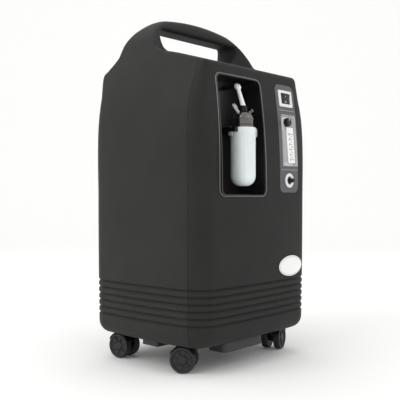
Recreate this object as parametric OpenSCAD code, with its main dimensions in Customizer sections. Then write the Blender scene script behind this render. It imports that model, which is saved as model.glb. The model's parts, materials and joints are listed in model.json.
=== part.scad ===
// Stationary oxygen concentrator on four twin-wheel casters, with an arched carry handle.
// Millimetres. +Z is up, the front faces -Y, the origin is on the floor under the middle.

/* [Cabinet] */
// Greatest width of the cabinet
body_w = 372; // [350:1:400]
// Greatest depth of the cabinet
body_d = 328; // [310:1:360]
// Height of the crown of the handle above the floor
total_h = 705; // [690:1:740]
// Height of the front top edge above the floor
deck_z = 587; // [580:1:600]
// Gap between the tops of the wheels and the bottom edge of the cabinet
skirt_gap = 3; // [2:0.5:6]
// Wall thickness of the moulded covers
wall = 3.5; // [3:0.5:5]
// How far each face bows out between its corners
bow = 12; // [4:1:16]
// Radius of the upright corners
corner_r = 38; // [30:1:50]
// Sideways gap between the front and rear covers
seam = 0.4; // [0.2:0.1:1]

/* [Ribbed band] */
// Number of grooves round the foot of the cabinet
groove_count = 6; // [3:1:7]
// Height of the lowest groove
groove_z = 95; // [90:1:100]
// Distance from one groove to the next
groove_pitch = 13.2; // [11:0.1:14]
// Depth of a groove
groove_depth = 3.5; // [1:0.5:4]

/* [Handle] */
// Half width of the hand opening
hand_half_w = 126; // [110:1:128]
// Height of the underside of the grip
grip_z = 674; // [668:1:678]
// Depth of the grip, front to back
grip_d = 52; // [40:1:60]
// Distance of the grip's middle behind the middle of the cabinet
grip_y = 31; // [25:1:35]

/* [Humidifier] */
// Width of the humidifier pocket
pocket_w = 134; // [124:1:138]
// Height of the humidifier pocket
pocket_h = 230; // [222:1:236]
// Depth of the humidifier pocket
pocket_depth = 66; // [62:1:72]
// Outer diameter of the jar
jar_d = 50; // [44:1:54]
// Height of the jar
jar_h = 118; // [100:1:122]
// Wall thickness of the jar
jar_wall = 2; // [1.5:0.5:2.5]

/* [Control strip] */
// Width of the control strip
strip_w = 65; // [60:1:68]
// Height of the control strip
strip_h = 224; // [220:1:230]
// Radius of the oxygen outlet's tube stub
outlet_r = 4.5; // [3.5:0.25:5.5]
// Length of the oxygen outlet's tube stub
outlet_len = 12; // [10:1:13]
// Travel of the flow float
float_travel = 58; // [40:1:60]

/* [Casters] */
// Diameter of a caster wheel
wheel_d = 50; // [44:1:50]
// Width of one wheel
wheel_w = 14; // [12:1:16]
// Distance of the wheel's axle behind the swivel
trail = 13; // [8:1:16]
// Radius of the swivel stem
stem_r = 5; // [4:0.5:6]
// Radius of the wheel axle
axle_r = 3; // [2.5:0.5:4]
// Sideways distance of each swivel from the middle
caster_x = 129; // [120:1:134]
// Distance of each swivel in front of or behind the middle
caster_y = 88; // [80:1:96]

/* [Works] */
// Radius of a sieve bed canister
bed_r = 38; // [34:1:40]
// Height of a sieve bed canister
bed_h = 270; // [240:1:276]
// Side of the cooling fan's square frame
fan_side = 120; // [92:1:120]
// Radius of the compressor's motor casing
motor_r = 46; // [40:1:48]

/* [Hidden] */
$fn = 48;
running_gap = 0.05;
loose_gap = 0.4;
CORNERS = [["fl", -1, -1, 31], ["fr", 1, -1, -73], ["rl", -1, 1, 7], ["rr", 1, 1, -20]];

half_w = body_w / 2;
half_d = body_d / 2;
skirt_z = wheel_d + skirt_gap;
// How far the side walls and the front and back lean in by the height of the deck.
side_lean = 17;
face_lean = 21;
foot_lean = 5;
skirt_r = 26;
band_mid_z = 350;
shoulder_z = 450;
// The arch of the handle starts at the deck with this half width.
arch_half_w = half_w - side_lean;
arch_power = 2.4;
deck_rise = 37;
hand_low_z = deck_z + deck_rise;
proud = 10;
parting_y = -half_d + 40;
front_y = -half_d;

// Inward lean of an upright face at height z.
function lean(z, from, by) =
    z > from ? by * pow((z - from) / (deck_z - from), 2) : 0;
function foot(z) = z < band_mid_z ? foot_lean * pow((band_mid_z - z) / (band_mid_z - skirt_z), 2) : 0;
function face_y(z) = half_d - lean(z, band_mid_z, face_lean) - foot(z);
function side_x(z) = half_w - lean(z, shoulder_z, side_lean);
// Place of the front face at distance x from the middle and height z.
function front_at(x, z) = -half_d + norm([lean(z, band_mid_z, face_lean), foot(z), bow * pow(x / half_w, 2)]);
// Backward tilt of the front face at height z.
function tilt_at(z) = atan(2 * face_lean * max(0, z - band_mid_z) / pow(deck_z - band_mid_z, 2));

// Places of the pieces that fit together.
hoop_front_y = -34;
hoop_back_y = 98;
groove_w = 4.5;
screw_r = 1.9;
screw_head_r = 4.5;
screw_x = 140;
screw_y = half_d - bow * pow(screw_x / half_w, 2) - 1.2;
rail_y = half_d - 38;
screw_len = screw_y - rail_y + 2;
tray_z = skirt_z + 5;
tray_t = 4;
floor_z = tray_z + tray_t + 0.5;
duct_z = 34;
muffler_z = 38;
liner_t = 2.5;
pocket_x = -59;
pocket_z = 450;
pocket_back = -half_d + pocket_depth;
strip_x = 90;
strip_z = 454;
strip_t = 5;
bezel_z = 537;
rocker_y = 3;
flow_x = 93;
flow_z = 450;
flow_w = 48;
flow_h = 108;
column_x = 8;
column_y = 4;
column_z = -38;
knob_x = -13;
knob_z = 36;
knob_len = 12;
outlet_z = 367;
label_x = 98;
label_z = 190;
label_turn = 3.9;
jar_x = -43;
jar_y = front_y + 18;
jar_z = 354;
bracket_z = jar_z + jar_h - 14;
float_r = 3.4;
elbow_z = 549;
elbow_drop = elbow_z - (jar_z + jar_h + 37);
filter_x = -50;
filter_z = 420;
filter_w = 150;
filter_h = 130;
door_t = 4;
filter_y = half_d + proud - 4.3 - door_t;
door_hinge_z = filter_z + filter_h / 2 - 6;
door_pivot_y = filter_y + 4.3 + door_t / 2;
door_sweep = norm([filter_z + (filter_h - 2) / 2 - door_hinge_z, door_t / 2]) + loose_gap;
power_x = 105;
power_z = 120;
power_w = 90;
power_h = 50;
power_y = half_d - 8;
comp_y = 62;
comp_low = floor_z + 22;
comp_z = comp_low + 62;
bed_y = 62;
bed_z = floor_z + 172;
fan_x = 62;
fan_y = -72;
fan_z = floor_z + 2 + fan_side / 2;
fork_top = tray_z - 3.6;
hub_gap = 0.5;
web_half = stem_r + 1.5;
wheel_in = web_half + hub_gap;
wheel_out = wheel_in + wheel_w;

// Plan of the cabinet, shrunk by i: four bowed faces joined by round corners.
function plan_points(i) =
    let (hw = half_w - i, hd = half_d - i, r = corner_r - i / 2,
         cx = hw - bow - r, cy = hd - bow - r,
         rx = hw - bow * pow(cy / hd, 2) - cx, ry = hd - bow * pow(cx / hw, 2) - cy,
         quarter = concat(
             [for (k = [0 : 3]) let (y = cy * k / 4) [hw - bow * pow(y / hd, 2), y]],
             [for (b = [0 : 15 : 90]) [cx + rx * cos(b), cy + ry * sin(b)]],
             [for (k = [3 : -1 : 0]) let (x = cx * k / 4) [x, hd - bow * pow(x / hw, 2)]]),
         n = len(quarter))
    concat(quarter,
           [for (k = [n - 2 : -1 : 1]) [-quarter[k][0], quarter[k][1]]],
           [for (p = quarter) -p],
           [for (k = [n - 2 : -1 : 1]) [quarter[k][0], -quarter[k][1]]]);

// Right half of the cabinet seen from the front, from the bottom to the crown.
function front_half(i) =
    let (low = skirt_z + i, r = skirt_r - i)
    concat(
        [for (a = [-90 : 18 : 0]) [half_w - i - r + r * cos(a), low + r + r * sin(a)]],
        [for (z = [shoulder_z : (deck_z - shoulder_z) / 4 : deck_z - 1]) [side_x(z) - i, z]],
        [for (a = [0 : 9 : 81]) let (c = pow(cos(a), 2 / arch_power), s = pow(sin(a), 2 / arch_power))
            [(arch_half_w - i) * c, deck_z + (total_h - deck_z - i) * s]]);
function front_points(i) =
    let (h = front_half(i), n = len(h))
    concat(h, [[0, total_h - i]], [for (k = [n - 1 : -1 : 0]) [-h[k][0], h[k][1]]]);

// Front edge of the cabinet seen from the side, from the bottom to the deck.
function face_edge(i) =
    let (low = skirt_z + i, r = skirt_r - i, fy = face_y(skirt_z + skirt_r))
    concat(
        [for (a = [-90 : 18 : 0]) [fy - i - r + r * cos(a), low + r + r * sin(a)]],
        [for (z = [160, 250, 350, 430, 480, 520, 555]) [face_y(z) - i, z]],
        [[face_y(deck_z) - i, deck_z - i]]);
// Outline seen from the side: back edge, then the given top from back to front, then the front edge.
function side_points(i, top) = let (e = face_edge(i), n = len(e))
    concat(e, top, [for (k = [n - 1 : -1 : 0]) [-e[k][0], e[k][1]]]);
function deck_points(i) = side_points(i, [[hoop_back_y, hand_low_z - 6 - i], [grip_y + 30, hand_low_z - i],
    [0, hand_low_z - i], [hoop_front_y, hand_low_z - 7 - i]]);
// The same with the legs of the handle standing on the deck.
function hoop_points() = side_points(0, [[hoop_back_y, hand_low_z - 6], [97, hand_low_z + 14],
    [90, grip_z - 6], [76, total_h - 12], [55, total_h], [20, total_h], [8, total_h - 8], [-3, grip_z + 9], [-10, grip_z - 9],
    [-23, hand_low_z + 4], [hoop_front_y, hand_low_z - 7]]);

module along_x(w) rotate([90, 0, 90]) linear_extrude(w, center = true) children();
module along_y(d) rotate([90, 0, 0]) linear_extrude(d, center = true) children();
module from_front(y, d) translate([0, y + d, 0]) rotate([90, 0, 0]) linear_extrude(d) children();
module round_rect(w, h, r) {
    square([w - 2 * r, h], center = true);
    square([w, h - 2 * r], center = true);
    for (x = [-1, 1]) for (y = [-1, 1]) translate([x * (w / 2 - r), y * (h / 2 - r)]) circle(r);
}
// A box with round upright edges, standing on z.
module round_block(w, d, h, r) linear_extrude(h) round_rect(w, d, r);
// A box with round edges along Y, centred on its own x and z, from y to y + d.
module round_plate(x, z, y, w, h, d, r) translate([x, 0, z]) from_front(y, d) round_rect(w, h, r);
module rod_y(x, z, y, d, r) translate([x, y, z]) rotate([-90, 0, 0]) cylinder(h = d, r = r);
module rod_x(x, y, z, w, r) translate([x, y, z]) rotate([0, 90, 0]) cylinder(h = w, r = r);
module tube(h, r, t) difference() {
    cylinder(h = h, r = r);
    translate([0, 0, -1]) cylinder(h = h + 2, r = r - t);
}

// Outside of the cabinet: plan, front view and side view meet, and the legs carry the grip.
module cabinet_solid() difference() {
    intersection() {
        linear_extrude(total_h + 1) polygon(plan_points(0));
        along_y(body_d + 2) polygon(front_points(0));
        along_x(body_w + 2) polygon(hoop_points());
    }
    along_x(2 * hand_half_w) difference() {
        polygon([[hoop_front_y - 1, hand_low_z - 7 + 0.3], [0, hand_low_z], [grip_y + 30, hand_low_z],
                 [hoop_back_y + 1, hand_low_z - 6.3], [hoop_back_y + 1, total_h + 1],
                 [hoop_front_y - 1, total_h + 1]]);
        translate([grip_y, (grip_z + total_h + 4) / 2]) round_rect(grip_d, total_h + 4 - grip_z, 13);
    }
    for (k = [0 : groove_count - 1]) translate([0, 0, groove_z + k * groove_pitch - groove_w / 2])
        linear_extrude(groove_w) difference() {
            polygon(plan_points(-2));
            polygon(plan_points(groove_depth));
        }
}
module cabinet_hollow() {
    intersection() {
        linear_extrude(total_h) polygon(plan_points(wall + groove_depth));
        along_y(body_d) polygon(front_points(wall));
        along_x(body_w) polygon(deck_points(wall));
    }
    translate([0, 0, skirt_z - 1]) linear_extrude(30) polygon(plan_points(skirt_r - 4));
}
module cabinet_shell() difference() {
    cabinet_solid();
    cabinet_hollow();
}
module ahead_of(y) translate([-body_w, -2 * body_d + y, -1]) cube([2 * body_w, 2 * body_d, total_h + 9]);

module rear_cover() color("#3d3d3b") difference() {
    cabinet_shell();
    ahead_of(parting_y + seam / 2);
    round_plate(filter_x, filter_z, half_d - 40, filter_w + 2 * loose_gap, filter_h + 2 * loose_gap, 60, 8);
    round_plate(power_x, power_z, half_d - 40, power_w + 2 * loose_gap, power_h + 2 * loose_gap, 60, 6);
    for (k = [0 : 6]) round_plate(filter_x, 190 + 14 * k, half_d - 40, 110, 6, 60, 2.9);
    at_screws() {
        rod_y(0, 0, half_d - 30, 60, screw_r + loose_gap);
        rod_y(0, 0, screw_y, 20, screw_head_r + loose_gap);
    }
}
module front_cover() color("#363635") difference() {
    intersection() {
        cabinet_shell();
        ahead_of(parting_y - seam / 2);
    }
    round_plate(pocket_x, pocket_z, front_y - 20, pocket_w + 2 * loose_gap, pocket_h + 2 * loose_gap, 60, 14);
    round_plate(strip_x, strip_z, front_y - 20, strip_w + 2 * loose_gap, strip_h + 2 * loose_gap, 60, 14);
    pocket_rim();
    info_label();
}
module at_screws() for (x = [-1, 1]) for (z = [230, 470]) translate([x * screw_x, 0, z]) children();
// Pan-head screws that hold the rear cover to the frame's lugs.
module cover_screws() color("#8a8c90") at_screws() {
    rod_y(0, 0, screw_y, 2.5, screw_head_r);
    rod_y(0, 0, screw_y - screw_len, screw_len + 0.5, screw_r);
}
module base_tray() color("#1c1c1d") difference() {
    translate([0, 0, tray_z]) linear_extrude(tray_t) polygon(plan_points(skirt_r - 4 + loose_gap));
    for (x = [-60 : 24 : 60]) translate([x, 40, tray_z - 1]) round_block(10, 70, tray_t + 2, 4.9);
    for (c = CORNERS) translate([c[1] * caster_x, c[2] * caster_y, tray_z - 1])
        cylinder(h = tray_t + 2, r = stem_r + 2);
}
module base_duct() color("#77777a") translate([-24, -112, duct_z]) difference() {
    round_block(120, 44, tray_z - duct_z, 8);
    translate([0, 0, -1]) round_block(112, 36, tray_z - duct_z - 3, 5);
}
module exhaust_muffler() color("#19191a") translate([-70, 10, muffler_z]) difference() {
    round_block(150, 46, tray_z - muffler_z, 6);
    for (x = [-55 : 22 : 55]) translate([x, 0, -1]) round_block(9, 32, 8, 4.4);
}

// Band that follows the front face at x, from out in front of it to deep behind it.
module face_band(x, out, deep) along_x(body_w) polygon(concat(
    [for (z = [300 : 15 : 585]) [front_at(x, z) - out, z]],
    [for (z = [585 : -15 : 300]) [deep > 20 ? deep - half_d : front_at(x, z) + deep, z]]));
// Local axes on the front face at x and z: the face is y = 0 and -Y points out of it.
module on_face(x, z) translate([x, front_at(x, z), z]) rotate([-tilt_at(z), 0, 0]) children();

// Moulded black pocket that the humidifier hangs in, open to the front.
module pocket_liner() color("#121213") difference() {
    intersection() {
        round_plate(pocket_x, pocket_z, front_y - 5, pocket_w, pocket_h, pocket_depth + 5 + liner_t, 13);
        face_band(pocket_x, 0, pocket_depth + liner_t);
    }
    round_plate(pocket_x, pocket_z, front_y - 9, pocket_w - 2 * liner_t, pocket_h - 2 * liner_t,
                pocket_depth + 9, 11);
    rod_y(jar_x, elbow_z, pocket_back - 5, 20, 4);
}
module pocket_rim() color("#c9cacb") difference() {
    intersection() {
        round_plate(pocket_x, pocket_z, front_y - 5, pocket_w + 4, pocket_h + 4, 60, 15);
        face_band(pocket_x, 1.6, -0.1);
    }
    round_plate(pocket_x, pocket_z, front_y - 9, pocket_w - 3, pocket_h - 3, 70, 12);
}
module info_label() color("#e9e9e6") translate([label_x, front_at(label_x, label_z) + 0.7, label_z])
    rotate([0, 0, label_turn]) from_front(-1.5, 1.5) {
        square([46, 42], center = true);
        for (s = [-1, 1]) translate([s * 23, 0]) circle(21);
    }

// Long grey control strip, set into the front cover and curved with it.
module control_panel() color("#636367") difference() {
    intersection() {
        round_plate(strip_x, strip_z, front_y - 5, strip_w, strip_h, 60, 14);
        face_band(strip_x, 0.6, strip_t);
    }
    on_face(strip_x, bezel_z) round_plate(0, 0, -5, 38 + 2 * loose_gap, 28 + 2 * loose_gap, 20, 3);
    on_face(flow_x, flow_z) round_plate(0, 0, -5, flow_w + 2 * loose_gap, flow_h + 2 * loose_gap, 20, 4);
    on_face(strip_x, outlet_z) rod_y(0, 0, -5, 20, 11 + loose_gap);
}
module panel_dividers() color("#c4c5c7") for (z = [512, 389]) on_face(strip_x, z)
    translate([-strip_w / 2 + 4, -1.6, -1]) cube([strip_w - 8, 0.8, 2]);
module switch_bezel() color("#dededc") on_face(strip_x, bezel_z) difference() {
    union() {
        round_plate(0, 0, -3, 46, 35, 2.2, 3);
        round_plate(0, 0, -1, 38, 28, 16, 2.6);
    }
    round_plate(0, 0, -6, 31, 22, 24, 1);
    rod_x(-18, rocker_y, 0, 36, 1.5 + running_gap);
}
// Rocker with its two faces at an angle, turning on a pin across the bezel.
module power_rocker() color("#141415") on_face(strip_x, bezel_z) translate([0, rocker_y, 0]) {
    rotate([8, 0, 0]) along_x(29) polygon([[-6.2, 9.8], [-3.6, 0], [-6.2, -9.8], [-4, -10.2], [5, -5],
                                           [5, 5], [-4, 10.2]]);
    rod_x(-17.5, 0, 0, 35, 1.5);
}
// Clear block with the flow column on the right and the needle valve on the left.
module flowmeter_body() color([0.85, 0.87, 0.88, 0.6]) on_face(flow_x, flow_z) difference() {
    union() {
        round_plate(0, 0, -3, flow_w, flow_h, strip_t + 12, 4);
        rod_y(knob_x, knob_z, -5, 3, 8);
    }
    translate([column_x, column_y, column_z]) cylinder(h = float_travel + 8, r = 4);
    rod_y(knob_x, knob_z, -6, 18, 2 + running_gap);
}
module flow_scale() color("#f2f2f0") on_face(flow_x, flow_z) {
    translate([column_x + 6, -3.4, column_z]) cube([5, 0.4, float_travel + 8]);
    for (k = [0 : 10]) translate([column_x + 6, -3.7, column_z + 4 + k * float_travel / 11])
        cube([k % 5 == 0 ? 5 : 3, 0.4, 0.8]);
}
module flow_float() color("#17171a") on_face(flow_x, flow_z)
    translate([column_x, column_y, column_z + 0.3 + float_r]) sphere(float_r);
module flow_knob() color("#131314") on_face(flow_x, flow_z) {
    difference() {
        rod_y(knob_x, knob_z, -knob_len - 5.5, knob_len, 9.5);
        for (a = [0 : 20 : 340]) translate([knob_x, 0, knob_z]) rotate([0, a, 0])
            rod_y(9.9, 0, -knob_len - 7, knob_len - 0.5, 0.9);
        rod_y(knob_x, knob_z, -knob_len - 6.5, 2, 6);
    }
    rod_y(knob_x, knob_z, -6, 15, 2);
}
module outlet_bezel() color("#dededc") on_face(strip_x, outlet_z) difference() {
    union() {
        rod_y(0, 0, -3.2, 2.4, 15);
        rod_y(0, 0, -1, 11, 11);
    }
    rod_y(0, 0, -5, 20, 8);
}
// Outlet body with the plain stub that a cannula or hose is pushed on to.
module outlet_stub() color("#141415") on_face(strip_x, outlet_z) {
    rod_y(0, 0, 0, 14, 7.9);
    rod_y(0, 0, -outlet_len, outlet_len + 1, outlet_r);
}

// Bracket on the back of the pocket: a yoke under the lid with a strap at each side.
module bottle_bracket() color("#1d1d1e") difference() {
    union() {
        translate([jar_x - 33, jar_y - 20, bracket_z]) cube([66, 20 + pocket_back - jar_y, 9]);
        for (s = [-1, 1]) translate([jar_x + s * 30.5 - 2.5, jar_y - 6, bracket_z - 34]) cube([5, 12, 35]);
    }
    translate([jar_x, jar_y, bracket_z - 40]) cylinder(h = 60, r = jar_d / 2 + 1.2);
}
module humidifier_jar() color([0.93, 0.94, 0.94, 0.55]) translate([jar_x, jar_y, jar_z]) difference() {
    rotate_extrude($fn = 64) jar_profile(jar_d / 2, 0);
    rotate_extrude($fn = 64) jar_profile(jar_d / 2 - jar_wall, jar_wall);
}
module jar_profile(r, low) {
    translate([0, low + 12]) square([r, jar_h - 12 + (low > 0 ? 1 : 0) - low]);
    translate([0, low]) square([r - 12, 13]);
    intersection() {
        translate([r - 12, low + 12]) circle(12);
        translate([0, low]) square([r, 13]);
    }
}
// Screw lid that caps the jar, with the bubbler's inlet boss on top.
module humidifier_lid() color("#8b8d90") translate([jar_x, jar_y, jar_z + jar_h]) difference() {
    union() {
        translate([0, 0, 1.3]) cylinder(h = 18, r = 21);
        translate([0, 0, 19]) cylinder(h = 8, r1 = 21, r2 = 12);
        translate([0, 0, 26]) cylinder(h = 10, r = 6);
    }
    translate([0, 0, 1]) cylinder(h = 16, r = 17);
    cylinder(h = 60, r = 3 + running_gap);
    at_relief() cylinder(h = 14, r = 3.4);
    at_port() cylinder(h = 22, r = 3.2);
}
// Local axes of the relief valve and of the outlet port, each along its own +Z.
module at_relief() translate([14, 0, 23.2]) rotate([0, 60, 0]) children();
module at_port() translate([-13, 0, 23.4]) rotate([0, -48, 0]) children();
module jar_gasket() color("#2b2b2c") translate([jar_x, jar_y, jar_z + jar_h + 0.3]) tube(1, 20.5, 3);
// Dip tube down to the diffuser stone near the bottom of the jar.
module dip_tube() color("#cfd6da") translate([jar_x, jar_y, jar_z + 14]) {
    difference() {
        cylinder(h = jar_h + 20, r = 3);
        translate([0, 0, 4]) cylinder(h = jar_h + 20, r = 1.6);
    }
    translate([0, 0, -5]) cylinder(h = 9, r = 5);
}
module relief_valve() color("#6b6d70") translate([jar_x, jar_y, jar_z + jar_h]) at_relief() {
    cylinder(h = 14, r = 3.4);
    translate([0, 0, 11]) cylinder(h = 4, r = 4.6);
}
module lid_outlet_port() color([0.9, 0.92, 0.93, 0.6]) translate([jar_x, jar_y, jar_z + jar_h])
    at_port() difference() {
        union() {
            cylinder(h = 22, r = 3.2);
            for (z = [13, 17]) translate([0, 0, z]) cylinder(h = 3, r1 = 4.2, r2 = 3.4);
        }
        translate([0, 0, 2]) cylinder(h = 24, r = 1.8);
    }
// Moulded elbow that brings the gas from the back of the pocket down on to the lid.
module inlet_elbow() color("#ececea") {
    translate([jar_x, jar_y, elbow_z - elbow_drop]) cylinder(h = elbow_drop, r = 4.2);
    translate([jar_x, jar_y, elbow_z]) sphere(6);
    rod_y(jar_x, elbow_z, jar_y, pocket_back + 8 - jar_y, 3.6);
    translate([jar_x, jar_y, elbow_z - elbow_drop - 10]) difference() {
        cylinder(h = 11.2, r = 8);
        translate([0, 0, -1]) cylinder(h = 10.2, r = 6 + running_gap);
    }
}

// Rear intake: fixed frame, foam filter, and a louvred door that hangs from its top edge.
module filter_frame() color("#1d1d1e") difference() {
    union() {
        round_plate(filter_x, filter_z, filter_y - 14, filter_w, filter_h, 18, 8);
        for (s = [-1, 1]) translate([filter_x + s * (filter_w / 2 - 4) - 3, filter_y + 3, door_hinge_z - 5])
            cube([6, 6, 10]);
    }
    round_plate(filter_x, filter_z, filter_y - 11, filter_w - 14, filter_h - 14, 18, 4);
    for (k = [-4 : 4]) round_plate(filter_x, filter_z + 12 * k, filter_y - 16, filter_w - 30, 6, 12, 2.9);
    rod_x(filter_x - filter_w / 2, door_pivot_y, door_hinge_z, filter_w, 1.5 + running_gap);
    rod_x(filter_x - filter_w / 2 + 7.5, door_pivot_y, door_hinge_z, filter_w - 15, door_sweep);
}
module intake_filter() color("#2a2a2b") round_plate(filter_x, filter_z, filter_y - 10.8, filter_w - 16,
                                                   filter_h - 16, 8, 3);
module filter_door() color("#232324") {
    difference() {
        round_plate(filter_x, filter_z, filter_y + 4.3, filter_w - 16, filter_h - 2, door_t, 7);
        for (k = [-4 : 4]) round_plate(filter_x, filter_z - 4 + 12 * k, filter_y, filter_w - 44, 5, 20, 2.4);
    }
    for (s = [-1, 1])
        rod_x(filter_x + s * (filter_w / 2 - 6) - 5, door_pivot_y, door_hinge_z, 10, 1.5);
}
module power_panel() color("#4a4a4c") difference() {
    round_plate(power_x, power_z, power_y - 2, power_w, power_h, 3, 6);
    translate([power_x - 30.4, power_y - 4, power_z - 14.4]) cube([29.8, 9, 24.8]);
    rod_y(power_x + 22, power_z, power_y - 4, 9, 8);
}
// Recessed three-pole mains inlet. The detachable cord isn't part of the model.
module mains_inlet() color("#101011") difference() {
    union() {
        translate([power_x - 30, power_y - 22, power_z - 14]) cube([29, 23, 24]);
        translate([power_x - 34, power_y + 1.1, power_z - 18]) cube([37, 2, 32]);
    }
    translate([power_x - 27, power_y - 16, power_z - 11]) difference() {
        cube([23, 30, 18]);
        for (x = [4, 11.5, 19]) translate([x - 1, 0, 9]) cube([2, 14, 4]);
    }
}
module breaker_body() color("#1a1a1b") difference() {
    union() {
        rod_y(power_x + 22, power_z, power_y - 24, 28, 7.6);
        rod_y(power_x + 22, power_z, power_y + 1.2, 2.8, 10);
    }
    rod_y(power_x + 22, power_z, power_y - 12, 20, 4 + running_gap);
}
module breaker_button() color("#2c2c2e") rod_y(power_x + 22, power_z, power_y - 8, 15, 4);

module chassis_base() color("#9a9ca0") translate([-150, -100, floor_z]) cube([300, 100 + rail_y, 2]);
module chassis_shelf() color("#9a9ca0") translate([-152, -60, floor_z + 170]) cube([304, 60 + rail_y, 2]);
module chassis_posts() color("#9a9ca0") for (x = [-152, 150]) for (y = [-60, rail_y - 26])
    translate([x, y, floor_z]) cube([2, 20, 170]);
// Upright rails behind the plates, each with two tapped lugs for the cover screws.
module chassis_rails() color("#9a9ca0") difference() {
    union() {
        for (x = [-1, 1]) translate([x * (screw_x + 7) - 5, rail_y, floor_z]) cube([10, 2, 420]);
        at_screws() translate([-9, rail_y, -9]) cube([18, 2, 18]);
    }
    at_screws() rod_y(0, 0, rail_y - 1, 4, screw_r);
}
module compressor_body() color("#8f9194") {
    rod_x(-62, comp_y, comp_z, 124, motor_r);
    for (s = [-1, 1]) translate([s * 44 - 8, comp_y - 34, comp_low]) cube([16, 68, 22]);
}
module compressor_heads() color("#a7a9ac") for (s = [-1, 1])
    for (k = [0 : 4]) translate([s * (62 + 21) - 20.8, comp_y - 30, comp_z - 22 + k * 12]) {
        cube([41.6, 60, 6]);
        translate([8, 8, 0]) cube([25.6, 44, k < 4 ? 12 : 6]);
    }
module compressor_mounts() color("#161617") for (sx = [-1, 1]) for (sy = [-1, 1])
    translate([sx * 44, comp_y + sy * 26, floor_z + 2]) cylinder(h = comp_low - floor_z - 2, r = 8);
module sieve_beds() color("#b4b6b8") for (x = [-105, -20]) translate([x, bed_y, bed_z]) {
    cylinder(h = bed_h, r = bed_r - 2);
    for (z = [0, bed_h - 8]) translate([0, 0, z]) cylinder(h = 8, r = bed_r);
}
module product_tank() color("#d9dadb") translate([75, bed_y, bed_z]) {
    cylinder(h = 230, r = 34);
    translate([0, 0, 230]) cylinder(h = 10, r1 = 34, r2 = 20);
}
module valve_manifold() color("#6f7a86") translate([-148, bed_y - 25, bed_z + bed_h]) difference() {
    cube([172, 50, 16]);
    for (x = [20 : 30 : 150]) translate([x, -1, 8]) rotate([-90, 0, 0]) cylinder(h = 12, r = 3);
}
module solenoid_valves() color("#22304a") for (x = [-125, -62, 0])
    translate([x - 11, bed_y - 45, bed_z + bed_h]) cube([22, 20, 16]);
module pressure_regulator() color("#c9a24a") translate([75, bed_y, bed_z + 240]) {
    cylinder(h = 16, r = 15);
    translate([0, 0, 16]) cylinder(h = 12, r = 9);
}
module cooling_coil() color("#b9bcc0") {
    for (k = [0 : 3]) translate([fan_x, fan_y + 26 + 9 * k, fan_z]) rotate([90, 0, 0])
        rotate_extrude($fn = 64) translate([44, 0]) circle(3.5);
    translate([fan_x - 47, fan_y + 20, fan_z - 5]) cube([6, 38, 10]);
}
module fan_housing() color("#1b1b1c") difference() {
    translate([fan_x - fan_side / 2, fan_y - 19, fan_z - fan_side / 2]) cube([fan_side, 38, fan_side]);
    difference() {
        rod_y(fan_x, fan_z, fan_y - 20, 40, fan_side / 2 - 4);
        rod_y(fan_x, fan_z, fan_y + 12, 12, 22);
        for (a = [0, 90]) translate([fan_x, fan_y + 15, fan_z]) rotate([0, a + 45, 0])
            cube([fan_side - 4, 6, 5], center = true);
    }
    rod_y(fan_x, fan_z, fan_y - 21, 38, 2 + running_gap);
}
module fan_rotor() color("#2b2b2d") {
    rod_y(fan_x, fan_z, fan_y - 16, 26, 20);
    rod_y(fan_x, fan_z, fan_y - 12, 28, 2);
    for (a = [0 : 360 / 7 : 359]) translate([fan_x, fan_y - 3, fan_z]) rotate([0, a, 0])
        translate([fan_side / 4 + 6, 0, 0]) rotate([35, 0, 0])
            cube([fan_side / 2 - 26, 3, 22], center = true);
}
module intake_muffler() color("#2a2a2c") translate([-130, -30, floor_z + 4]) {
    cylinder(h = 120, r = 18);
    translate([0, 0, 120]) cylinder(h = 14, r = 7);
}
module motor_capacitor() color("#33363b") translate([-86, -75, floor_z + 4]) {
    cylinder(h = 90, r = 20);
    for (x = [-7, 7]) translate([x - 2, -1, 90]) cube([4, 2, 8]);
}
module control_board() color("#2f6b45") translate([-120, pocket_back + 8, 400]) {
    cube([120, 1.6, 130]);
    for (x = [12, 52, 84]) translate([x, 1.6, 20]) cube([18, 14, 24]);
    translate([20, 1.6, 90]) cube([70, 9, 22]);
}

// Round top plates with the stems that the caster forks swivel on.
module caster_plates() color("#2b2b2c") for (c = CORNERS) translate([c[1] * caster_x, c[2] * caster_y, 0]) {
    translate([0, 0, tray_z - 3]) cylinder(h = 3, r = 15);
    translate([0, 0, fork_top - 12]) cylinder(h = tray_z + tray_t - fork_top + 12, r = stem_r);
}
// Hooded centre web between the two wheels, with the bore for the stem and the bore for the axle.
module caster_fork(c) color("#141415") translate([c[1] * caster_x, c[2] * caster_y, 0]) rotate([0, 0, c[3]])
    difference() {
        union() {
            translate([0, 0, fork_top - 22]) cylinder(h = 22, r = web_half);
            translate([-web_half, 0, wheel_d / 2 - 8]) cube([2 * web_half, trail + 6, wheel_d / 2 + 9]);
            rod_x(-web_half, trail, wheel_d / 2, 2 * web_half, 9);
            intersection() {
                difference() {
                    rod_x(-wheel_out, trail, wheel_d / 2, 2 * wheel_out, wheel_d / 2 + 2.3);
                    rod_x(-60, trail, wheel_d / 2, 120, wheel_d / 2 + 0.7);
                }
                translate([-60, -20, wheel_d / 2 + 12]) cube([120, 80, fork_top - wheel_d / 2 - 12]);
            }
        }
        translate([0, 0, fork_top - 13]) cylinder(h = 20, r = stem_r + running_gap);
        rod_x(-30, trail, wheel_d / 2, 60, axle_r + running_gap);
    }
module caster_wheels(c) color("#0f0f10") translate([c[1] * caster_x, c[2] * caster_y, 0])
    rotate([0, 0, c[3]]) {
    for (s = [-1, 1]) difference() {
        rod_x(s * (wheel_in + wheel_w / 2) - wheel_w / 2, trail, wheel_d / 2, wheel_w, wheel_d / 2);
        rod_x(s * wheel_out - 2, trail, wheel_d / 2, 4, wheel_d / 2 - 6);
    }
    rod_x(-wheel_in - 2, trail, wheel_d / 2, 2 * wheel_in + 4, axle_r);
}

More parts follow.
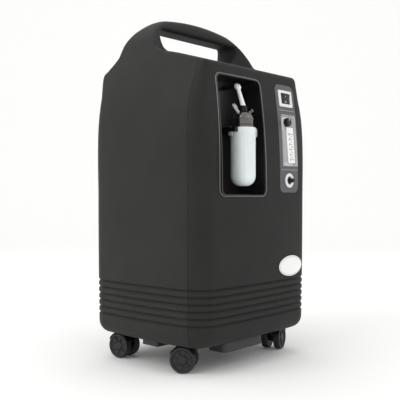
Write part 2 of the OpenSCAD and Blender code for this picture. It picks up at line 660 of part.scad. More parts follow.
rear_cover();
front_cover();
base_tray();
base_duct();
exhaust_muffler();
cover_screws();
pocket_liner();
pocket_rim();
info_label();
control_panel();
panel_dividers();
switch_bezel();
power_rocker();
flowmeter_body();
flow_scale();
flow_float();
flow_knob();
outlet_bezel();
outlet_stub();
bottle_bracket();
humidifier_jar();
humidifier_lid();
jar_gasket();
dip_tube();
relief_valve();
inlet_elbow();
lid_outlet_port();
filter_frame();
filter_door();
intake_filter();
power_panel();
mains_inlet();
breaker_body();
breaker_button();
chassis_base();
chassis_shelf();
chassis_posts();
chassis_rails();
compressor_body();
compressor_heads();
compressor_mounts();
sieve_beds();
product_tank();
valve_manifold();
solenoid_valves();
pressure_regulator();
cooling_coil();
fan_housing();
fan_rotor();
intake_muffler();
motor_capacitor();
control_board();
caster_plates();
for (c = CORNERS) {
    caster_fork(c);
    caster_wheels(c);
}
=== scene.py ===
import json
import math

import bmesh
import bpy
import numpy as np
from mathutils import Matrix, Vector


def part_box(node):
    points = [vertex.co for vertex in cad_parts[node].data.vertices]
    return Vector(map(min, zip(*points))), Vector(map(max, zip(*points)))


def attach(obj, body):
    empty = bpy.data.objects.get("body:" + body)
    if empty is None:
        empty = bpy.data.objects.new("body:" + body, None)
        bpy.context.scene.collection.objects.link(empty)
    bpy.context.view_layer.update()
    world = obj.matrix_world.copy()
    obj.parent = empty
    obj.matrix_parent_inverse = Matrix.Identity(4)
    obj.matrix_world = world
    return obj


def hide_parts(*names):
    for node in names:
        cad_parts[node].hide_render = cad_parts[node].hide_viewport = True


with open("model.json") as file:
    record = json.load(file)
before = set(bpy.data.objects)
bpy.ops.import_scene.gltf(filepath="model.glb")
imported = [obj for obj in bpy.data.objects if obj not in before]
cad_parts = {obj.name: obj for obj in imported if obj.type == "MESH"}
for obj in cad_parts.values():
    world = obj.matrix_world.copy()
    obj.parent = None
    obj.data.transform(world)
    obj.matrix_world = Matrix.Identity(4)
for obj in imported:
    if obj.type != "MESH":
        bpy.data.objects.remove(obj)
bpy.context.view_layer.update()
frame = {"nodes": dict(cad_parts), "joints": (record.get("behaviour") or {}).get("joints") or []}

# ---------------------------------------------------------------- studio
# A pale seamless floor and wall, three large soft lamps, and a level camera a metre and a half
# away to the left of the front. The machine stands on its casters on the floor.
scene = bpy.context.scene
scene.view_settings.view_transform = "Standard"
MM = 0.001


def linear(hex_colour):
    """An sRGB hex colour as linear red, green, blue and a full alpha."""
    parts = [int(hex_colour[i : i + 2], 16) / 255 for i in (1, 3, 5)]
    return [p / 12.92 if p <= 0.04045 else ((p + 0.055) / 1.055) ** 2.4 for p in parts] + [1.0]


def set_inputs(node, values):
    """Gives a shader node's sockets their values."""
    for socket, value in values.items():
        node.inputs[socket].default_value = value


def add_node(tree, kind, values=None, links=None, **settings):
    """Adds one shader node with its settings, socket values and incoming links."""
    made = tree.nodes.new(kind)
    for name, value in settings.items():
        setattr(made, name, value)
    set_inputs(made, values or {})
    for socket, source in (links or {}).items():
        tree.links.new(source, made.inputs[socket])
    return made


def new_material(name):
    """An empty material with its surface shader: returns the material, its tree and the shader."""
    made = bpy.data.materials.new(name)
    made.use_nodes = True
    tree = made.node_tree
    tree.nodes.clear()
    shader = add_node(tree, "ShaderNodeBsdfPrincipled")
    add_node(tree, "ShaderNodeOutputMaterial", links={"Surface": shader.outputs["BSDF"]})
    return made, tree, shader


def tint(tree, shader, colour, other, amount):
    """Colours a shader between two sRGB hex colours."""
    mixed = add_node(tree, "ShaderNodeMix", {"A": linear(colour), "B": linear(other)}, {"Factor": amount},
                     data_type="RGBA")
    tree.links.new(mixed.outputs["Result"], shader.inputs["Base Color"])


def relief(tree, shader, strength, depth_mm, height):
    """Gives a shader fine relief from a height."""
    bump = add_node(tree, "ShaderNodeBump", {"Strength": strength, "Distance": depth_mm * MM}, {"Height": height})
    tree.links.new(bump.outputs["Normal"], shader.inputs["Normal"])


def new_object(name, data):
    """An object in the scene that holds a mesh, a lamp, a camera or a text."""
    made = bpy.data.objects.new(name, data)
    scene.collection.objects.link(made)
    return made


def new_piece(name, vertices, faces, material=None):
    """A mesh object in the scene, its vertices given in millimetres."""
    mesh = bpy.data.meshes.new(name)
    mesh.from_pydata([(x * MM, y * MM, z * MM) for x, y, z in vertices], [], faces)
    if material:
        mesh.materials.append(material)
    return new_object(name, mesh)


backdrop_mat, tree, shader = new_material("matt_white_paper")
grain = add_node(tree, "ShaderNodeTexNoise", {"Scale": 3.0, "Detail": 3.0})
tint(tree, shader, "#fafaf9", "#fdfdfc", grain.outputs["Fac"])
set_inputs(shader, {"Roughness": 0.9, "Specular IOR Level": 0.1})

floor_half, sweep_r, wall_y = 6000, 1200, 4500
sweep = [(-floor_half, 0)] + [
    (wall_y - sweep_r + sweep_r * math.sin(a), sweep_r - sweep_r * math.cos(a))
    for a in np.linspace(0, math.pi / 2, 17)
] + [(wall_y, 5000)]
turn = Matrix.Rotation(math.radians(-47.8), 3, "Z")
corners = [turn @ Vector((x, y, z - 0.5)) for y, z in sweep for x in (-floor_half, floor_half)]
backdrop = new_piece("studio_floor", corners,
                     [(2 * i, 2 * i + 1, 2 * i + 3, 2 * i + 2) for i in range(len(sweep) - 1)], backdrop_mat)
backdrop.data.shade_smooth()

world = bpy.data.worlds.new("studio_air")
scene.world = world
world.use_nodes = True
set_inputs(world.node_tree.nodes["Background"], {"Color": linear("#ffffff"), "Strength": 0.96})


def soft_lamp(name, place, target, size, watts):
    """A large square lamp that faces a point."""
    data = bpy.data.lights.new(name, "AREA")
    data.size = size
    data.energy = watts
    made = new_object(name, data)
    made.location = place
    made.rotation_euler = (Vector(target) - Vector(place)).to_track_quat("-Z", "Y").to_euler()


soft_lamp("lamp_left", (-2.4, 0.4, 2.0), (0, 0, 0.35), 1.8, 22)
soft_lamp("lamp_front", (0.9, -2.8, 1.9), (0, 0, 0.35), 1.6, 7)
soft_lamp("lamp_top", (0.2, 0.6, 3.0), (0, 0, 0.4), 2.2, 6)

camera = new_object("camera", bpy.data.cameras.new("camera"))
camera.location = (-1.0712, -0.9665, 0.3351)
camera.rotation_euler = (math.radians(90), 0, math.radians(-47.76))
camera.data.lens = 60.75
camera.data.shift_y = -0.0103
scene.camera = camera

# ---------------------------------------------------------------- casters
# Four twin-wheel swivel casters. Each has two nylon wheels pressed on one axle, a moulded fork with
# a hood over the wheels, and a steel stem that stands in a round plate under the base.


def box_mm(node):
    """A CAD node's middle and size, in millimetres."""
    low, high = (np.array(corner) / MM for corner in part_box(node))
    return (low + high) / 2, high - low


def round_rect(width, height, radius, steps=6):
    """Points round a rectangle with round corners, in order, about its middle."""
    points = []
    for k, (sx, sy) in enumerate(((1, -1), (1, 1), (-1, 1), (-1, -1))):
        for t in range(steps + 1):
            a = math.radians(-90 + 90 * k + 90 * t / steps)
            points.append((sx * (width / 2 - radius) + radius * math.cos(a),
                           sy * (height / 2 - radius) + radius * math.sin(a)))
    return points


def band_faces(rows, many):
    """Quads between closed rows of points, as many in each row."""
    return [(k * many + i, k * many + (i + 1) % many, (k + 1) * many + (i + 1) % many, (k + 1) * many + i)
            for k in range(rows - 1) for i in range(many)]


def loft(name, loops, material=None, caps=(True, True), ring=False):
    """A skin over closed loops that all have the same number of points; as a ring it closes on itself."""
    many = len(loops[0])
    loops = loops + loops[:1] if ring else loops
    vertices = [p for loop in loops for p in loop]
    faces = band_faces(len(loops), many)
    if caps[0]:
        faces.append(tuple(range(many))[::-1])
    if caps[1]:
        faces.append(tuple(range(len(vertices) - many, len(vertices))))
    made = new_piece(name, vertices, faces, material)
    tidy = bmesh.new()
    tidy.from_mesh(made.data)
    if ring:
        bmesh.ops.remove_doubles(tidy, verts=tidy.verts[:], dist=1e-7)
    bmesh.ops.recalc_face_normals(tidy, faces=tidy.faces[:])
    tidy.to_mesh(made.data)
    tidy.free()
    return made


def smooth(piece, degrees=35):
    """Shades a piece smooth, but for its edges sharper than this."""
    piece.data.shade_smooth()
    piece.data.set_sharp_from_angle(angle=math.radians(degrees))


def settle(piece):
    """Turns a piece with its modifiers into a plain mesh."""
    evaluated = piece.evaluated_get(bpy.context.evaluated_depsgraph_get())
    mesh = bpy.data.meshes.new_from_object(evaluated)
    piece.modifiers.clear()
    piece.data = mesh


def smooth_edges(points, radius, steps=4):
    """An open line of points with its corners rounded off."""
    made = [points[0]]
    for before, here, after in zip(points, points[1:], points[2:]):
        before, here, after = Vector(before), Vector(here), Vector(after)
        reach = min(radius, (before - here).length / 2, (after - here).length / 2)
        a = here + (before - here).normalized() * reach
        b = here + (after - here).normalized() * reach
        made += [tuple((1 - t) ** 2 * a + 2 * t * (1 - t) * here + t * t * b)
                 for t in np.linspace(0, 1, steps + 1)]
    return made + [points[-1]]


def lathe(name, profile, place=Matrix(), material=None, steps=64):
    """A turned piece from (radius, height) points, closed at its poles, spun round local Z."""
    made = loft(name, [[(r * math.cos(a), r * math.sin(a), h) for a in np.linspace(0, 2 * math.pi, steps + 1)[:-1]]
                       for r, h in profile], material, (False, False))
    tidy = bmesh.new()
    tidy.from_mesh(made.data)
    bmesh.ops.remove_doubles(tidy, verts=tidy.verts[:], dist=1e-6)
    holes = [e for e in tidy.edges if e.is_boundary]
    if holes:
        bmesh.ops.holes_fill(tidy, edges=holes)
    bmesh.ops.recalc_face_normals(tidy, faces=tidy.faces[:])
    tidy.to_mesh(made.data)
    tidy.free()
    put(made, place)
    smooth(made)
    return made


def put(piece, place):
    """Moves a piece's mesh; the place is in millimetres and the object stays at the origin."""
    move = place.copy()
    move.translation = move.translation * MM
    piece.data.transform(move)
    return piece


def join(name, pieces):
    """One piece from several."""
    whole = bmesh.new()
    for piece in pieces:
        whole.from_mesh(piece.data)
    mesh = bpy.data.meshes.new(name)
    whole.to_mesh(mesh)
    whole.free()
    mesh.materials.append(pieces[0].data.materials[0])
    for piece in pieces:
        bpy.data.objects.remove(piece)
    return new_object(name, mesh)


repeat_tree = bpy.data.node_groups.new("repeat", "GeometryNodeTree")
sockets = {}
for name, kind in (("Geometry", "Geometry"), ("Count", "Int"), ("Step", "Vector"), ("Turn", "Vector"),
                   ("Finish", "Material")):
    sockets[name] = repeat_tree.interface.new_socket(name=name, in_out="INPUT", socket_type="NodeSocket" + kind)
repeat_tree.interface.new_socket(name="Geometry", in_out="OUTPUT", socket_type="NodeSocketGeometry")
given = add_node(repeat_tree, "NodeGroupInput")
index = add_node(repeat_tree, "GeometryNodeInputIndex")
shift = add_node(repeat_tree, "ShaderNodeVectorMath", operation="SCALE",
                 links={"Vector": given.outputs["Step"], "Scale": index.outputs["Index"]})
angle = add_node(repeat_tree, "ShaderNodeVectorMath", operation="SCALE",
                 links={"Vector": given.outputs["Turn"], "Scale": index.outputs["Index"]})
turned = add_node(repeat_tree, "FunctionNodeEulerToRotation", links={"Euler": angle.outputs["Vector"]})
spots = add_node(repeat_tree, "GeometryNodePoints",
                 links={"Count": given.outputs["Count"], "Position": shift.outputs["Vector"]})
copies = add_node(repeat_tree, "GeometryNodeInstanceOnPoints",
                  links={"Points": spots.outputs["Points"], "Instance": given.outputs["Geometry"],
                         "Rotation": turned.outputs["Rotation"]})
real = add_node(repeat_tree, "GeometryNodeRealizeInstances", links={"Geometry": copies.outputs["Instances"]})
coated = add_node(repeat_tree, "GeometryNodeSetMaterial",
                  links={"Geometry": real.outputs["Geometry"], "Material": given.outputs["Finish"]})
add_node(repeat_tree, "NodeGroupOutput", links={"Geometry": coated.outputs["Geometry"]})


def repeat(piece, count, step=(0, 0, 0), turn=(0, 0, 0)):
    """Repeats a piece: each copy is moved by step millimetres and turned by turn degrees from the last."""
    modifier = piece.modifiers.new("repeat", "NODES")
    modifier.node_group = repeat_tree
    modifier[sockets["Count"].identifier] = count
    modifier[sockets["Step"].identifier] = [s * MM for s in step]
    modifier[sockets["Turn"].identifier] = [math.radians(t) for t in turn]
    modifier[sockets["Finish"].identifier] = piece.data.materials[0]
    settle(piece)
    return piece


def moulded(name, colour, other, rough, grain_mm, depth_mm, metallic=0.0, stretch=(1, 1, 1), coat=0.0, shine=0.5):
    """A moulded, cast or drawn finish: fine grain in relief and in gloss, and broad, faint changes of tone."""
    made, tree, shader = new_material(name)
    place = add_node(tree, "ShaderNodeTexCoord")
    pulled = add_node(tree, "ShaderNodeMapping", {"Scale": stretch}, {"Vector": place.outputs["Object"]})
    clouds = add_node(tree, "ShaderNodeTexNoise", {"Scale": 11.0, "Detail": 3.0, "Roughness": 0.6},
                      {"Vector": place.outputs["Object"]})
    grain = add_node(tree, "ShaderNodeTexNoise", {"Scale": 1000 / grain_mm, "Detail": 2.0},
                     {"Vector": pulled.outputs["Vector"]})
    both = add_node(tree, "ShaderNodeMath", {1: 0.5}, {0: grain.outputs["Fac"], 2: clouds.outputs["Fac"]},
                    operation="MULTIPLY_ADD")
    spread = add_node(tree, "ShaderNodeMapRange", {"From Min": 0.5, "From Max": 1.0},
                      {"Value": both.outputs["Value"]})
    tint(tree, shader, colour, other, spread.outputs["Result"])
    gloss = add_node(tree, "ShaderNodeMapRange", {"To Min": rough - 0.06, "To Max": rough + 0.08},
                     {"Value": grain.outputs["Fac"]})
    tree.links.new(gloss.outputs["Result"], shader.inputs["Roughness"])
    relief(tree, shader, 0.5, depth_mm, grain.outputs["Fac"])
    set_inputs(shader, {"Metallic": metallic, "Coat Weight": coat, "Specular IOR Level": shine})
    if not metallic:
        shader.inputs["IOR"].default_value = 1.53
    return made


def coat_node(node, material):
    """Gives a CAD node that is shown as it is its finish."""
    mesh = frame["nodes"][node].data
    mesh.materials.clear()
    mesh.materials.append(material)


# Black nylon and polyurethane: near black, with a dull moulded skin.
nylon = moulded("black_moulded_nylon", "#060607", "#0c0c0d", 0.45, 1.6, 0.05, shine=0.25)
tread = moulded("black_polyurethane_tread", "#09090a", "#121213", 0.55, 1.2, 0.08)
# Zinc-plated steel: bluish bright metal with a faint rolled grain.
zinc = moulded("zinc_plated_steel", "#a9adb2", "#8d9197", 0.34, 1.5, 0.03, metallic=1.0, stretch=(1, 0.2, 1))
joints = {j["name"]: j for j in frame["joints"]}
wheel_r = box_mm("caster_wheels_fl")[1][2] / 2
web_half, wheel_in, wheel_out = 6.5, 7.0, 21.0
wheel_side = smooth_edges([(0, wheel_in), (9, wheel_in), (10, wheel_in + 1), (21, wheel_in + 1),
                           (22, wheel_in), (wheel_r - 0.6, wheel_in), (wheel_r, wheel_in + 2.5),
                           (wheel_r, wheel_out - 2.5), (wheel_r - 0.8, wheel_out), (wheel_r - 5, wheel_out),
                           (wheel_r - 6, wheel_out - 2.4), (9, wheel_out - 3), (8, wheel_out - 0.6),
                           (0, wheel_out - 0.4)], 1.2)
along_axle = Matrix.Rotation(math.radians(90), 4, "Y")
for corner in ("fl", "fr", "rl", "rr"):
    axle = Vector(joints["roll_" + corner]["pos_m"]) / MM
    axis = joints["roll_" + corner]["axis"]
    swivel = Vector(joints["swivel_" + corner]["pos_m"]) / MM
    yaw = Matrix.Rotation(math.atan2(axis[1], axis[0]), 4, "Z")
    parts = []
    for way in (along_axle, along_axle @ Matrix.Rotation(math.pi, 4, "X")):
        parts.append(lathe("wheel", wheel_side, way, tread, 72))
        spoke = loft("spoke", [[(7, -0.9, z), (wheel_r - 6.2, -0.6, z), (wheel_r - 6.2, 0.6, z), (7, 0.9, z)]
                               for z in (wheel_out - 3.4, wheel_out - 1.2)], tread)
        repeat(spoke, 7, turn=(0, 0, 360 / 7))
        parts.append(put(spoke, way))
    parts.append(lathe("axle", [(0, -wheel_in - 1), (3, -wheel_in - 1), (3, wheel_in + 1), (0, wheel_in + 1)],
                       along_axle, tread, 24))
    wheels = join("wheels_pair_" + corner, parts)
    put(wheels, Matrix.Translation(axle) @ yaw)
    smooth(wheels, 40)
    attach(wheels, "wheels_" + corner)
    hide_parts("caster_wheels_" + corner)

    trail = (axle.xy - swivel.xy).length
    hood_out, hood_in = wheel_r + 2.3, wheel_r + 0.8
    hood = []
    for x, less in ((-wheel_out, 0.6), (-wheel_out + 1.2, 0), (wheel_out - 1.2, 0), (wheel_out, 0.6)):
        arc = [math.radians(a) for a in np.linspace(26, 154, 29)]
        hood.append([(x, trail + (hood_out - less) * math.cos(a), wheel_r + (hood_out - less) * math.sin(a))
                     for a in arc]
                    + [(x, trail + hood_in * math.cos(a), wheel_r + hood_in * math.sin(a)) for a in arc[::-1]])
    web_line = smooth_edges([(trail - 10, wheel_r - 8), (trail + 8, wheel_r - 8), (trail + 12, wheel_r + 2),
                             (trail + 9, wheel_r + 25.6), (-4, wheel_r + 26.6), (-6.4, wheel_r + 20),
                             (-4, wheel_r + 6), (trail - 10, wheel_r - 8)], 4)[:-1]
    web = [[(x, trail + (y - trail) * s, wheel_r + 9 + (z - wheel_r - 9) * s) for y, z in web_line]
           for x, s in ((-web_half, 0.96), (-web_half + 0.8, 1), (web_half - 0.8, 1), (web_half, 0.96))]
    boss = smooth_edges([(0, 32), (web_half, 32), (web_half, 48), (9, 51.5), (9, 54.4), (5.2, 54.4),
                         (5.2, 50)], 0.8)
    fork = join("fork_" + corner, [loft("hood", hood, nylon), loft("web", web, nylon),
                                   lathe("boss", boss, Matrix(), nylon, 32)])
    put(fork, Matrix.Translation((swivel.x, swivel.y, 0)) @ yaw)
    smooth(fork, 40)
    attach(fork, "caster_" + corner)
    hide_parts("caster_fork_" + corner)
coat_node("caster_plates", zinc)

# ---------------------------------------------------------------- base and works
# A moulded tray closes the cabinet from below, with an outlet duct and a muffler box hung under it.
# The works stand on a zinc-plated steel frame: compressor, sieve beds, tank, valves, coil and fan.
black_pp = moulded("black_moulded_polypropylene", "#161617", "#1f1f20", 0.48, 2.0, 0.08)
duct_abs = moulded("dark_grey_moulded_abs", "#303032", "#3b3b3d", 0.5, 2.0, 0.08, shine=0.3)
cast_alloy = moulded("die_cast_aluminium", "#8e9195", "#a6a9ad", 0.42, 1.4, 0.12, metallic=1.0)
drawn_alloy = moulded("drawn_aluminium", "#b2b5b8", "#c6c8ca", 0.3, 1.2, 0.03, metallic=1.0, stretch=(1, 1, 0.1))
rubber = moulded("black_moulded_rubber", "#0a0a0b", "#111112", 0.75, 1.8, 0.1, shine=0.25)
tank_pe = moulded("natural_blow_moulded_polyethylene", "#d6d7d6", "#e2e3e1", 0.42, 3.0, 0.08)
brass = moulded("turned_brass", "#c7a04c", "#b48d3c", 0.28, 1.0, 0.02, metallic=1.0, stretch=(0.2, 0.2, 1))
coil_blue = moulded("blue_lacquered_coil_wrap", "#22304a", "#2c3d5e", 0.35, 1.2, 0.04, coat=0.3)
capacitor_black = moulded("black_phenolic", "#2b2d31", "#35373c", 0.3, 2.0, 0.03, coat=0.2)
# Solder mask over copper tracks: green epoxy with a faint brick pattern of tracks, 4 mm apart.
board_green, tree, shader = new_material("green_epoxy_board")
place = add_node(tree, "ShaderNodeTexCoord")
flat = add_node(tree, "ShaderNodeMapping", {"Rotation": (math.pi / 2, 0, 0)}, {"Vector": place.outputs["Object"]})
tracks = add_node(tree, "ShaderNodeTexBrick",
                  {"Color1": linear("#2a6440"), "Color2": linear("#33754c"), "Mortar": linear("#1d4a2d"),
                   "Scale": 60.0, "Mortar Size": 0.03}, {"Vector": flat.outputs["Vector"]})
tree.links.new(tracks.outputs["Color"], shader.inputs["Base Color"])
relief(tree, shader, 0.4, 0.05, tracks.outputs["Fac"])
shader.inputs["Roughness"].default_value = 0.35
# Open-cell polyurethane foam: cells of 2 mm in deep relief.
foam, tree, shader = new_material("open_cell_filter_foam")
place = add_node(tree, "ShaderNodeTexCoord")
cells = add_node(tree, "ShaderNodeTexVoronoi", {"Scale": 500.0}, {"Vector": place.outputs["Object"]})
tint(tree, shader, "#3a3a3b", "#1a1a1b", cells.outputs["Distance"])
relief(tree, shader, 0.9, 0.8, cells.outputs["Distance"])
shader.inputs["Roughness"].default_value = 0.95
for material, nodes in (
    (black_pp, "base_tray exhaust_muffler fan_housing fan_rotor intake_muffler"),
    (duct_abs, "base_duct"),
    (zinc, "chassis_base chassis_shelf chassis_posts chassis_rails"),
    (cast_alloy, "compressor_body compressor_heads valve_manifold cooling_coil"),
    (drawn_alloy, "sieve_beds"),
    (rubber, "compressor_mounts jar_gasket"),
    (tank_pe, "product_tank"),
    (brass, "pressure_regulator"),
    (coil_blue, "solenoid_valves"),
    (capacitor_black, "motor_capacitor"),
    (board_green, "control_board"),
    (foam, "intake_filter"),
):
    for node in nodes.split():
        coat_node(node, material)

# ---------------------------------------------------------------- cabinet
# Two blow-moulded ABS covers that make one form: bowed faces, six V grooves round the foot and an
# arched handle. The form is a field that is negative inside; the covers are skinned on it and cut.
body_low, body_high = (np.array(corner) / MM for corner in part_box("rear_cover"))
half_w, crown_z, skirt_z = body_high[0], body_high[2], body_low[2]
half_d = body_high[1]
deck_z, deck_rise = 587, 43
shoulder_z, shoulder_in = 450, 17
band_z, face_in, foot_in = 350, 21, 5
bow = 12
corner_in, corner_z = 13, 500
grip_front, grip_back = 5, 57
opening_half, opening_top = 127, 671
cover_wall, seam_gap = 3, 0.4
seam_y = 0.5 * (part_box("front_cover")[1][1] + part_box("rear_cover")[0][1]) / MM
groove_z, groove_count, groove_pitch, groove_depth, groove_half = 95, 6, 13.2, 3.3, 4.0


def rounded_and(p, q, r):
    """The space inside both shapes, with the edge between them rounded to radius r."""
    return np.minimum(np.maximum(p, q), -r) + np.hypot(np.maximum(p + r, 0), np.maximum(q + r, 0))


def rounded_or(p, q, r):
    """The space inside either shape, with the corner between them filled to radius r."""
    return -rounded_and(-p, -q, r)


def ease(t):
    """A smooth step from 0 to 1."""
    t = np.clip(t, 0, 1)
    return t * t * (3 - 2 * t)


def face_lean(z):
    """How far the front and back faces lean in at height z, at the middle of the cabinet."""
    return np.hypot(face_in * (np.clip(z - band_z, 0, deck_z - band_z + 8) / (deck_z - band_z)) ** 2,
                    foot_in * (np.maximum(band_z - z, 0) / (band_z - skirt_z)) ** 2)


def side_half_width(z):
    """Half the cabinet's width at height z, at the middle of its depth."""
    return half_w - shoulder_in * (np.maximum(z - shoulder_z, 0) / (deck_z - shoulder_z)) ** 2


def cabinet_field(x, y, z):
    """Below 0 inside the cabinet and above 0 outside it, about as many millimetres as the skin is away."""
    side = np.abs(x) - side_half_width(z) + bow * (y / half_d) ** 2
    side = side + corner_in * ease((z - corner_z) / 85) * ease((-25 - y) / 105)
    lean, curve = face_lean(z), bow * (x / half_w) ** 2
    meet = np.hypot(lean, curve)
    face = np.abs(y) - half_d + meet + ease((np.abs(x) - 122) / 50) * (lean + curve - meet)
    deck = rounded_and(0.96 * (z - deck_z - 0.3 * (y + 143)), z - deck_z - deck_rise, 24)
    deck = rounded_and(deck, 0.88 * (z - deck_z - deck_rise + 0.56 * (y - 62)), 40)
    box = rounded_and(face, deck, 6)
    # Handle: an arched slab whose legs are deep and whose grip is slim, less the hand opening.
    up = z - deck_z
    leg_front = np.interp(up, [20, 30, 41, 63, 78, 96, 112, 130], [-52, -34, -24, -15, -10, -3, 8, 24])
    leg_back = np.interp(up, [10, 31, 53, 81, 100, 112, 130], [112, 98, 96, 90, 80, 68, 50])
    slim = ease((168 - np.abs(x)) / 62)
    front = leg_front + slim * (grip_front - leg_front)
    back = leg_back + slim * (grip_back - leg_back)
    crown = z - crown_z + 8.6 * (x / 100) ** 2
    slab = rounded_and(np.maximum(front - y, y - back), crown, 23)
    hole = rounded_and(np.abs(x) - opening_half, z - opening_top, 24)
    hole = rounded_and(hole, 0.8 * (604 + 0.75 * (np.abs(x) - 60) - z), 20)
    hoop = rounded_and(slab, -hole, 9)
    whole = rounded_or(box, hoop, 12 + 8 * ease((136 - np.abs(x)) / 18))
    corner_r = np.interp(z, [350, 540, 578], [38, 23, 9])
    outside = rounded_and(rounded_and(side, crown, 45), whole, corner_r)
    outside = rounded_and(outside, skirt_z - z, 26)
    for k in range(groove_count):
        away = np.abs(z - groove_z - k * groove_pitch)
        outside = outside + groove_depth * np.maximum(0, 1 - away / groove_half)
    return outside


def outline(z, directions):
    """Points where rays from the middle leave the cabinet at height z."""
    near, far = np.full(len(directions), 60.0), np.full(len(directions), 320.0)
    for _ in range(34):
        middle = (near + far) / 2
        inside = cabinet_field(middle * directions[:, 0], middle * directions[:, 1], z) < 0
        near, far = np.where(inside, middle, near), np.where(inside, far, middle)
    return directions * near[:, None]


def evenly_round(count):
    """Ray directions that meet the cabinet at even distances round it."""
    angles = np.linspace(0, 2 * math.pi, 2001)
    rays = np.stack([np.cos(angles), np.sin(angles)], 1)
    ring = outline(300.0, rays)
    walked = np.concatenate([[0], np.cumsum(np.hypot(*np.diff(ring, axis=0).T))])
    chosen = np.interp(np.arange(count) / count * walked[-1], walked, angles)
    return np.stack([np.cos(chosen), np.sin(chosen)], 1)


def surface_net(field, low, high, step):
    """A quad skin on field = 0 inside a box: one point in each cell that the surface crosses."""
    axes = [np.arange(a, b + step / 2, step) for a, b in zip(low, high)]
    gx, gy, gz = np.meshgrid(*axes, indexing="ij")
    value = field(gx, gy, gz)
    inside = value < 0
    cells = np.zeros([n - 1 for n in inside.shape], int)
    for i in (0, 1):
        for j in (0, 1):
            for k in (0, 1):
                cells += inside[tuple(slice(o, n - 1 + o) for o, n in zip((i, j, k), inside.shape))]
    active = (cells > 0) & (cells < 8)
    number = np.full(active.shape, -1)
    number[active] = np.arange(active.sum())
    index = np.argwhere(active)
    points = np.array(low) + (index + 0.5) * step
    bottom = index[:, 2] == 0
    points[bottom, 2] = low[2]
    for _ in range(6):
        here = field(*points.T)
        slope = np.stack([(field(*(points + d).T) - field(*(points - d).T)) / 0.2
                          for d in np.eye(3) * 0.1], 1)
        slope[bottom, 2] = 0
        move = slope * (here / np.maximum((slope**2).sum(1), 0.05))[:, None]
        points -= np.clip(move, -step, step)
    faces = []
    for axis in range(3):
        u, v = (axis + 1) % 3, (axis + 2) % 3
        first = np.take(inside, range(inside.shape[axis] - 1), axis)
        second = np.take(inside, range(1, inside.shape[axis]), axis)
        for edge in np.argwhere(first != second):
            if edge[u] == 0 or edge[v] == 0 or edge[u] >= active.shape[u] or edge[v] >= active.shape[v]:
                continue
            around = []
            for du, dv in ((-1, -1), (0, -1), (0, 0), (-1, 0)):
                cell = edge.copy()
                cell[u] += du
                cell[v] += dv
                around.append(number[tuple(cell)])
            if not first[tuple(edge)]:
                around.reverse()
            faces.append(tuple(int(a) for a in around))
    return points, faces


rays = evenly_round(232)
join_z = 572.0
bend = [skirt_z + 26 * (1 - math.cos(a)) for a in np.linspace(math.radians(6), math.pi / 2, 9)]
grooves = [groove_z + k * groove_pitch + d for k in range(groove_count) for d in (-groove_half, 0, groove_half)]
levels = sorted(bend + [87.0] + grooves + [180, 205] + list(np.arange(240, 561, 20.0)) + [join_z - 3])
rings = [np.column_stack([outline(z, rays), np.full(len(rays), z)]) for z in levels]
count = len(rays)
top_points, top_faces = surface_net(
    cabinet_field, (-half_w - 6, -half_d - 6, join_z), (half_w + 6, half_d + 6, crown_z + 6), 2.6)
base = len(levels) * count
cabinet = new_piece("cabinet", np.concatenate(rings + [top_points]),
                    band_faces(len(levels), count) + [tuple(base + i for i in face) for face in top_faces])
skin = bmesh.new()
skin.from_mesh(cabinet.data)
open_edges = [e for e in skin.edges if e.is_boundary and e.verts[0].co.z > (join_z - 10) * MM]
bmesh.ops.bridge_loops(skin, edges=open_edges)
bmesh.ops.recalc_face_normals(skin, faces=skin.faces[:])
skin.to_mesh(cabinet.data)
skin.free()


def cut(piece, cutters):
    """Takes the cutters out of a piece, and removes them."""
    for cutter in cutters:
        hollow = piece.modifiers.new("cut", "BOOLEAN")
        hollow.operation = "DIFFERENCE"
        hollow.solver = "EXACT"
        hollow.object = cutter
    settle(piece)
    for cutter in cutters:
        bpy.data.objects.remove(cutter)


def prism(x, z, low_y, high_y, width, height, radius):
    """A cutter with round corners that runs along Y."""
    shape = round_rect(width, height, radius)
    return loft("cutter", [[(x + a, y, z + b) for a, b in shape] for y in (low_y, high_y)])


def cover(name, keep_front):
    """One cover: the cabinet's skin on one side of the seam, with a 3 mm wall."""
    made = new_object(name, cabinet.data.copy())
    part = bmesh.new()
    part.from_mesh(made.data)
    away = seam_gap / (-2 if keep_front else 2)
    bmesh.ops.bisect_plane(part, geom=part.verts[:] + part.edges[:] + part.faces[:], dist=1e-7,
                           plane_co=(0, (seam_y + away) * MM, 0), plane_no=(0, 1, 0),
                           clear_outer=keep_front, clear_inner=not keep_front)
    part.to_mesh(made.data)
    part.free()
    wall = made.modifiers.new("wall", "SOLIDIFY")
    wall.thickness = cover_wall * MM
    wall.offset = -1
    settle(made)
    return made


front_cover = cover("front_shell", True)
rear_cover = cover("rear_shell", False)
bpy.data.objects.remove(cabinet)

pocket_mid, pocket_size = box_mm("pocket_liner")
strip_mid, strip_size = box_mm("control_panel")
cut(front_cover, [prism(pocket_mid[0], pocket_mid[2], -200, -100, pocket_size[0] + 0.8, pocket_size[2] + 0.8, 14),
                  prism(strip_mid[0], strip_mid[2], -200, -100, strip_size[0] + 0.8, strip_size[2] + 0.8, 14)])
filter_mid, filter_size = box_mm("filter_frame")
power_mid, power_size = box_mm("power_panel")
slots = [prism(filter_mid[0], 190 + 14 * k, 130, 200, 110, 6, 2.9) for k in range(7)]
cut(rear_cover, [prism(filter_mid[0], filter_mid[2], 130, 200, filter_size[0] + 0.8, filter_size[2] + 0.8, 8),
                 prism(power_mid[0], power_mid[2], 130, 200, power_size[0] + 0.8, power_size[2] + 0.8, 6)] + slots)
for shell in (front_cover, rear_cover):
    smooth(shell, 32)
    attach(shell, "cabinet")
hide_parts("front_cover")
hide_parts("rear_cover")

